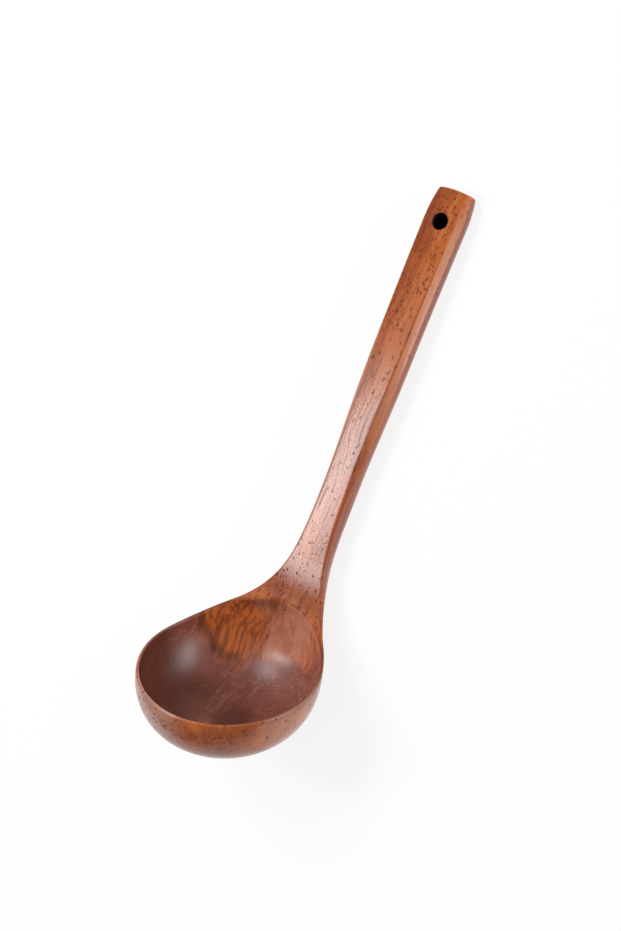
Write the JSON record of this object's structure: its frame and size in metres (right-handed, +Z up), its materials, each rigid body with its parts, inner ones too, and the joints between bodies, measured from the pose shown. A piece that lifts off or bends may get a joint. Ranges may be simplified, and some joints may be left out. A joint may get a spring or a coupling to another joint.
{
  "type": "ladle",
  "caption": "Wooden ladle with a deep round bowl, a swept shoulder and a flat, slightly curved handle with a hanging hole near its rounded end.",
  "frame": {"origin": "middle of the ladle's footprint, on the table that it lies on", "axes": "+X along the handle from the bowl to the tip, +Y to the ladle's left, +Z up from the table"},
  "size_m": [0.2788, 0.0852, 0.0776],
  "materials": {
    "bowl_wood": "semi-gloss lacquered red-brown hardwood",
    "handle_wood": "semi-gloss lacquered red-brown hardwood",
    "dowel_wood": "bare pale hardwood"
  },
  "bodies": {
    "root": {"bowl": "bowl_wood", "handle": "handle_wood", "neck_dowel_left": "dowel_wood", "neck_dowel_right": "dowel_wood"}
  },
  "joints": []
}
